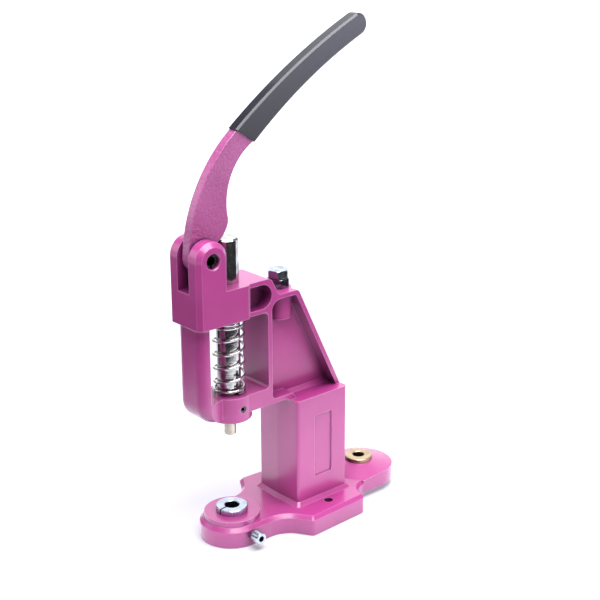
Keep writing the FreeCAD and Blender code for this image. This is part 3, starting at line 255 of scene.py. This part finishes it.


# Hollow shade: painted shade, a colour that turns from open to deep where a place lies
# in a pocket or corner, standing in for the shade that falls there.
hollow_shade, given, result = effect(
    "hollow_shade",
    [
        ("Open Colour", "NodeSocketColor", (1.0, 1.0, 1.0, 1.0)),
        ("Deep Colour", "NodeSocketColor", (0.4, 0.4, 0.4, 1.0)),
    ],
    [("Colour", "NodeSocketColor")],
)
closed = node(hollow_shade, "AmbientOcclusion", samples=8, Distance=0.035)
depth = spread(hollow_shade, closed.outputs["AO"], 0.22, 0.72, 1.0, 0.0)
shaded = node(hollow_shade, "Mix", data_type="RGBA")
hollow_shade.links.new(depth, shaded.inputs[0])
hollow_shade.links.new(given.outputs["Open Colour"], shaded.inputs[6])
hollow_shade.links.new(given.outputs["Deep Colour"], shaded.inputs[7])
hollow_shade.links.new(shaded.outputs[2], result.inputs["Colour"])


edge_thinning_and_highlight_pink = (0.900, 0.450, 0.740)
dust_pink = (0.800, 0.450, 0.680)
underside_shade_plum = (0.130, 0.020, 0.110)
hollow_shade_mauve = (0.30, 0.18, 0.34, 1.0)


def enamel(name, grain, relief, radius, full, thin):
    """Satin magenta enamel from full to thin colour, with painted shade on its undersides and
    in its hollows, and a partly painted highlight along its edges.
    """
    material, tree, shader = finish(
        name, Coat_Weight=1.0, Coat_Roughness=0.20, Coat_IOR=1.52, Specular_IOR_Level=0.5,
    )
    skin = place_effect(tree, cast_skin, Grain=grain, Speck_Size=230.0, Cloud=26.0)
    edges = place_effect(tree, edge_light, Radius=radius, Width=0.22)
    clouds = spread(tree, skin.outputs["Clouds"], 0.3, 0.7)
    colour = blend_colour(tree, clouds, full, thin)
    # Paler edges: partly enamel thinned at the edges, partly a painted highlight.
    edge_thinning_and_highlight = maths(tree, "MULTIPLY", edges.outputs["Edge"], 0.85)
    colour = blend_colour(tree, edge_thinning_and_highlight, colour, edge_thinning_and_highlight_pink)
    dust = maths(tree, "MULTIPLY", skin.outputs["Specks"], 0.8)
    colour = blend_colour(tree, dust, colour, dust_pink)
    # Painted shade in pockets and corners.
    hollow = place_effect(tree, hollow_shade, Deep_Colour=hollow_shade_mauve)
    colour = blend_colour(tree, 1.0, colour, hollow.outputs["Colour"], "MULTIPLY")
    # Painted shade on the faces that turn downwards.
    facing = node(tree, "SeparateXYZ")
    tree.links.new(node(tree, "TexCoord").outputs["Normal"], facing.inputs[0])
    under = spread(tree, facing.outputs["Z"], -0.80, -0.05, 0.75, 0.0)
    colour = blend_colour(tree, under, colour, underside_shade_plum)
    tree.links.new(colour, shader.inputs["Base Color"])
    rough = spread(tree, skin.outputs["Height"], 0.2, 0.8, 0.34, 0.46)
    tree.links.new(rough, shader.inputs["Roughness"])
    bump = node(tree, "Bump", Strength=1.0, Distance=relief)
    tree.links.new(skin.outputs["Height"], bump.inputs["Height"])
    tree.links.new(edges.outputs["Normal"], bump.inputs["Normal"])
    tree.links.new(bump.outputs["Normal"], shader.inputs["Normal"])
    return material


casting_enamel = enamel(
    "casting_enamel", grain=850.0, relief=0.00012, radius=0.0009,
    full=(0.490, 0.045, 0.260), thin=(0.565, 0.060, 0.315),
)
dress(nodes["frame"], casting_enamel)


# The hand lever is a second casting, a curved flat bar with a thick eye that turns
# between the ears.  Its flanks keep the coarse skin of the mould under the enamel.

lever = copy_of("lever", "hand_lever")
round_edges(lever, width=0.0008, corner=28)
smooth(lever)
lever_enamel = enamel(
    "lever_enamel", grain=520.0, relief=0.00100, radius=0.0005,
    full=(0.470, 0.080, 0.290), thin=(0.560, 0.120, 0.360),
)
dress(lever, lever_enamel)
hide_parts("lever")
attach(lever, "lever_arm")


# The grip is a dark grey dipped vinyl sleeve, drawn over the lever's end.  It is glossy
# and shows faint ripples where it has shrunk on.  Its colour holds painted light: nearly
# black painted dark lines along its narrow edges, painted shade on its front and top
# faces, and a painted highlight that makes its flanks paler towards the tip.

sleeve = copy_of("lever_grip", "grip_sleeve")
smooth(sleeve, 30)
vinyl, tree, shader = finish(
    "dipped_vinyl", Specular_IOR_Level=0.45, Coat_Weight=0.30, Coat_Roughness=0.05,
)
place = node(tree, "TexCoord")
ripples = node(tree, "TexNoise", Scale=70.0, Detail=1.0, Roughness=0.40)
tree.links.new(place.outputs["Object"], ripples.inputs["Vector"])
edges = place_effect(tree, edge_light, Radius=0.0005, Width=0.3)
heights = node(tree, "SeparateXYZ")
tree.links.new(place.outputs["Object"], heights.inputs[0])
# Painted light on the flanks: dark near the lever, lit towards the tip.
mouth_height, tip_height = 0.27, 0.345
painted_light_to_tip = spread(tree, heights.outputs["Z"], mouth_height, tip_height)
painted_light_flank = blend_colour(tree, painted_light_to_tip, (0.022, 0.022, 0.029), (0.125, 0.125, 0.150))
# Painted shade on the front and top faces, darker than the flanks.
facing = node(tree, "SeparateXYZ")
tree.links.new(place.outputs["Normal"], facing.inputs[0])
sideways = spread(tree, maths(tree, "ABSOLUTE", facing.outputs["X"], 0.0), 0.55, 0.92)
colour = blend_colour(tree, sideways, (0.014, 0.014, 0.022), painted_light_flank)
# Painted dark lines along the edges.
colour = blend_colour(tree, edges.outputs["Edge"], colour, (0.012, 0.012, 0.022))
tree.links.new(colour, shader.inputs["Base Color"])
rough = spread(tree, ripples.outputs["Fac"], 0.25, 0.75, 0.20, 0.30)
tree.links.new(rough, shader.inputs["Roughness"])
bump = node(tree, "Bump", Strength=1.0, Distance=0.00006)
tree.links.new(ripples.outputs["Fac"], bump.inputs["Height"])
tree.links.new(edges.outputs["Normal"], bump.inputs["Normal"])
tree.links.new(bump.outputs["Normal"], shader.inputs["Normal"])
dress(sleeve, vinyl)
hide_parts("lever_grip")
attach(sleeve, "lever_arm")


# The ram is a turned and chromed steel bar.  It runs through the head and the guide
# boss, and the chrome shows fine speckles and the rings left by turning.

# Turned rings: fine circles round an upright axis, with a slow change of shine.
turned_rings, given, result = effect(
    "turned_rings",
    [("Pitch", "NodeSocketFloat", 2600.0), ("Speckle", "NodeSocketFloat", 1500.0)],
    [("Height", "NodeSocketFloat"), ("Speckles", "NodeSocketFloat"), ("Stain", "NodeSocketFloat")],
)
place = node(turned_rings, "TexCoord")
spaced = node(turned_rings, "VectorMath", operation="MULTIPLY")
spaced.inputs[1].default_value = (0.02, 0.02, 1.0)
turned_rings.links.new(place.outputs["Object"], spaced.inputs[0])
rings = node(turned_rings, "TexNoise", Detail=1.0, Roughness=0.4)
turned_rings.links.new(spaced.outputs[0], rings.inputs["Vector"])
turned_rings.links.new(given.outputs["Pitch"], rings.inputs["Scale"])
grains = node(turned_rings, "TexNoise", Detail=2.0, Roughness=0.6)
turned_rings.links.new(place.outputs["Object"], grains.inputs["Vector"])
turned_rings.links.new(given.outputs["Speckle"], grains.inputs["Scale"])
stain = node(turned_rings, "TexNoise", Scale=180.0, Detail=2.0)
turned_rings.links.new(place.outputs["Object"], stain.inputs["Vector"])
height = maths(turned_rings, "ADD", rings.outputs["Fac"], grains.outputs["Fac"])
turned_rings.links.new(height, result.inputs["Height"])
speckles = spread(turned_rings, grains.outputs["Fac"], 0.52, 0.64)
turned_rings.links.new(speckles, result.inputs["Speckles"])
turned_rings.links.new(stain.outputs["Fac"], result.inputs["Stain"])


def plated(name, light, dark, rough, relief, radius, pitch=2600.0, speckle=1500.0, deep=0.12):
    """Plated and turned metal, bright where it is clean and darker in its stains, with a
    painted highlight along its edges and painted shade in its hollows.
    """
    material, tree, shader = finish(name, Metallic=1.0)
    marks = place_effect(tree, turned_rings, Pitch=pitch, Speckle=speckle)
    edges = place_effect(tree, edge_light, Radius=radius, Width=0.3)
    patch = spread(tree, marks.outputs["Stain"], 0.35, 0.65)
    colour = blend_colour(tree, patch, light, dark)
    # Painted highlight along the edges.
    colour = blend_colour(tree, edges.outputs["Edge"], colour, light)
    # Painted shade in pockets and corners.
    hollow = place_effect(tree, hollow_shade, Deep_Colour=(deep, deep, deep, 1.0))
    colour = blend_colour(tree, 1.0, colour, hollow.outputs["Colour"], "MULTIPLY")
    tree.links.new(colour, shader.inputs["Base Color"])
    shine = spread(tree, marks.outputs["Speckles"], 0.0, 1.0, rough, rough * 1.6)
    tree.links.new(shine, shader.inputs["Roughness"])
    bump = node(tree, "Bump", Strength=1.0, Distance=relief)
    tree.links.new(marks.outputs["Height"], bump.inputs["Height"])
    tree.links.new(edges.outputs["Normal"], bump.inputs["Normal"])
    tree.links.new(bump.outputs["Normal"], shader.inputs["Normal"])
    return material


chrome = plated(
    "speckled_chrome", (0.84, 0.83, 0.81), (0.56, 0.55, 0.53),
    rough=0.09, relief=0.000016, radius=0.0004, speckle=1100.0, deep=0.55,
)
dress(nodes["ram"], chrome)


# The retaining ring is a dark sprung steel clip in the ram's groove, and the washer
# under it is plated.  Together they carry the top of the spring.

blued = plated(
    "blued_clip", (0.22, 0.22, 0.24), (0.10, 0.10, 0.11),
    rough=0.28, relief=0.000006, radius=0.0002,
)
dress(nodes["retaining_ring"], blued)
dress(nodes["spring_washer"], chrome)


# The return spring is one length of bright steel wire, wound up the ram with a closed
# turn at each end.  It presses the ram up and shortens as the ram comes down.

wire = 0.0009
active_turns = 4.5
end_turns = 1.25
end_pitch = 0.0024
low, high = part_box("return_spring")
path_radius = high.x - wire
foot = low.z + wire
head = high.z - wire
turns = active_turns + 2 * end_turns
closed_rise = end_turns * end_pitch
stations = [
    (0.0, foot),
    (end_turns, foot + closed_rise),
    (turns - end_turns, head - closed_rise),
    (turns, head),
]
coil_curve = bpy.data.curves.new("return_coil", "CURVE")
coil_curve.dimensions = "3D"
coil_curve.bevel_depth = wire
coil_curve.bevel_resolution = 4
coil_curve.use_fill_caps = True
line = coil_curve.splines.new("POLY")
steps = 48
line.points.add(int(turns * steps))
for step, point in enumerate(line.points):
    turn = step / steps
    for (first, start), (last, end) in zip(stations, stations[1:]):
        if first <= turn <= last:
            rise = start + (end - start) * (turn - first) / (last - first)
    angle = 2 * math.pi * turn
    point.co = (path_radius * math.cos(angle), path_radius * math.sin(angle), rise, 1.0)
wound = bpy.data.objects.new("wound", coil_curve)
bpy.context.scene.collection.objects.link(wound)
bpy.context.view_layer.update()
finished = wound.evaluated_get(bpy.context.evaluated_depsgraph_get())
coil_mesh = bpy.data.meshes.new_from_object(finished)
bpy.data.objects.remove(wound)
coil = bpy.data.objects.new("return_coil", coil_mesh)
bpy.context.scene.collection.objects.link(coil)
only(coil)
bpy.ops.object.shade_smooth_by_angle(angle=math.radians(50))
bright_wire = plated(
    "spring_wire", (0.88, 0.87, 0.86), (0.70, 0.69, 0.68),
    rough=0.12, relief=0.000004, radius=0.0002, deep=0.75,
)
dress(coil, bright_wire)
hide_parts("return_spring")
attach(coil, "press_frame")
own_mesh(coil)


# The pivot is a dark rolled pin, driven through both ears and the lever's eye, and the
# guide screw is a blackened socket screw in the boss that keeps the ram from turning.

dress(nodes["pivot_pin"], blued)
dress(nodes["guide_set_screw"], blued)


# The die spigot is a pale nickel-plated stub in the ram's lower end.

nickel = plated(
    "pale_nickel", (0.66, 0.60, 0.49), (0.50, 0.45, 0.36),
    rough=0.34, relief=0.000010, radius=0.0003,
)
dress(nodes["die_spigot"], nickel)


# The front bush holds the lower die.  It is zinc plated, slit so that the clamp screw
# can close it, and its plating is a cold bluish white.

zinc = plated(
    "blue_white_zinc", (0.66, 0.72, 0.79), (0.50, 0.58, 0.68),
    rough=0.26, relief=0.000006, radius=0.0003,
)
dress(nodes["die_bush"], zinc)
dress(nodes["die_clamp_screw"], zinc)


# The rear bush is a plain turned brass-coloured ring for the second die.

brass = plated(
    "pale_brass", (0.70, 0.56, 0.38), (0.58, 0.44, 0.27),
    rough=0.32, relief=0.000008, radius=0.0003,
)
dress(nodes["rear_bush"], brass)


# The stop bolt is screwed into the arm behind the head, and its nut locks it.  Both are
# zinc plated with crisp flats.  The nut's zinc is made darker as painted shade, for the
# shadowed band under the bolt's head.

bolt_zinc = plated(
    "clear_zinc", (0.70, 0.76, 0.83), (0.40, 0.46, 0.54),
    rough=0.15, relief=0.000004, radius=0.0003,
)
nut_zinc_shadowed = plated(
    "nut_zinc_painted_shade", (0.50, 0.54, 0.60), (0.16, 0.17, 0.20),
    rough=0.12, relief=0.000004, radius=0.0003,
)
dress(nodes["stop_bolt"], bolt_zinc)
dress(nodes["stop_lock_nut"], nut_zinc_shadowed)


# The studio: a plain pale floor that runs out of view, soft light from large lamps
# above and beside the press, and the camera at the photograph's place.

bpy.ops.mesh.primitive_plane_add(size=24.0, location=(0.04, 0.09, -0.0002))
floor = bpy.context.active_object
floor.name = "floor"
paper, tree, shader = finish(
    "white_paper", Base_Color=(0.62, 0.62, 0.68, 1.0), Roughness=0.9, Specular_IOR_Level=0.0,
    Emission_Color=(0.96, 0.96, 1.0, 1.0),
)
# The floor glows.  For the camera its glow grows with distance, so it stays white beyond the
# lamps' reach.  For every other ray it glows near the press and far off, a painted bounce light
# that lights the press from below and beside.
seen = node(tree, "LightPath")
place = node(tree, "TexCoord")
reach = node(tree, "VectorMath", operation="LENGTH")
tree.links.new(place.outputs["Object"], reach.inputs[0])
from_middle = reach.outputs["Value"]
glow = spread(tree, from_middle, 0.30, 1.2, 0.27, 0.92)
near = spread(tree, from_middle, 0.12, 0.28, 0.74, 0.08)
far = spread(tree, from_middle, 0.50, 0.90, 0.0, 0.50)
bounce_glow = maths(tree, "ADD", near, far)
unseen = maths(tree, "SUBTRACT", 1.0, seen.outputs["Is Camera Ray"])
glow = maths(tree, "MULTIPLY", seen.outputs["Is Camera Ray"], glow)
bounce_glow = maths(tree, "MULTIPLY", unseen, bounce_glow)
tree.links.new(maths(tree, "ADD", glow, bounce_glow), shader.inputs["Emission Strength"])
dress(floor, paper)


# A curved black card stands before the press, as close as the view allows.  Only the
# gloss and the bounced light meet it, so the metal gets its dark bands.
toward = Vector((0.707, -0.707, 0.0))
open_back = -0.26
bpy.ops.mesh.primitive_cylinder_add(
    vertices=72, radius=0.34, depth=0.15, end_fill_type="NOTHING", location=(0.0, 0.05, 0.074),
)
card = bpy.context.active_object
card.name = "black_card"
bpy.ops.object.mode_set(mode="EDIT")
shape = bmesh.from_edit_mesh(card.data)
for face in shape.faces:
    face.select_set(face.calc_center_median().normalized().dot(toward) < open_back)
bmesh.update_edit_mesh(card.data)
bpy.ops.mesh.delete(type="FACE")
bpy.ops.object.mode_set(mode="OBJECT")
card.visible_camera = False
card.visible_shadow = False
felt, tree, shader = finish(
    "black_felt", Base_Color=(0.035, 0.034, 0.034, 1.0), Roughness=1.0, Specular_IOR_Level=0.0,
)
dress(card, felt)


def softbox(name, place, aim, size, power, colour=(1.0, 1.0, 1.0), beam=180.0):
    """Square lamp at a place, turned to its aim, with its beam as narrow as its grid."""
    lamp = bpy.data.lights.new(name, "AREA")
    lamp.shape = "SQUARE"
    lamp.size = size
    lamp.energy = power
    lamp.color = colour
    lamp.spread = math.radians(beam)
    stand = bpy.data.objects.new(name, lamp)
    stand.location = place
    stand.rotation_euler = (Vector(aim) - Vector(place)).to_track_quat("-Z", "Y").to_euler()
    bpy.context.scene.collection.objects.link(stand)


softbox("overhead", (0.25, 0.05, 1.35), (0.0, 0.05, 0.05), 1.2, 32.5, (0.96, 0.97, 1.0))
softbox("back_wall", (-2.00, 1.80, 1.20), (0.0, 0.05, 0.12), 3.0, 32.0, (0.95, 0.97, 1.0))
softbox("right_low", (0.95, 0.30, 0.10), (0.0, 0.10, 0.03), 0.3, 0.045, beam=15.0)
softbox("left_wall", (-1.50, -1.20, 0.85), (0.0, 0.0, 0.20), 1.0, 4.5)

world = bpy.data.worlds.new("studio_air")
world.use_nodes = True
bpy.context.scene.world = world
air = world.node_tree
seen = node(air, "LightPath")
backdrop = blend_colour(air, seen.outputs["Is Camera Ray"], (0.24, 0.24, 0.26), (1.0, 1.0, 1.0))
air.links.new(backdrop, air.nodes["Background"].inputs["Color"])

lens = bpy.data.cameras.new("camera")
lens.lens = 78.76
lens.sensor_width = 36.0
lens.clip_start = 0.05
camera = bpy.data.objects.new("camera", lens)
bpy.context.scene.collection.objects.link(camera)
ahead = Vector((-0.71428, 0.61811, -0.32823))
roll = Quaternion((0.0, 0.0, 1.0), math.radians(-0.19))
camera.location = (0.64333, -0.49395, 0.45233)
camera.rotation_mode = "QUATERNION"
camera.rotation_quaternion = ahead.to_track_quat("-Z", "Y") @ roll
bpy.context.scene.camera = camera
bpy.context.scene.view_settings.view_transform = "Standard"
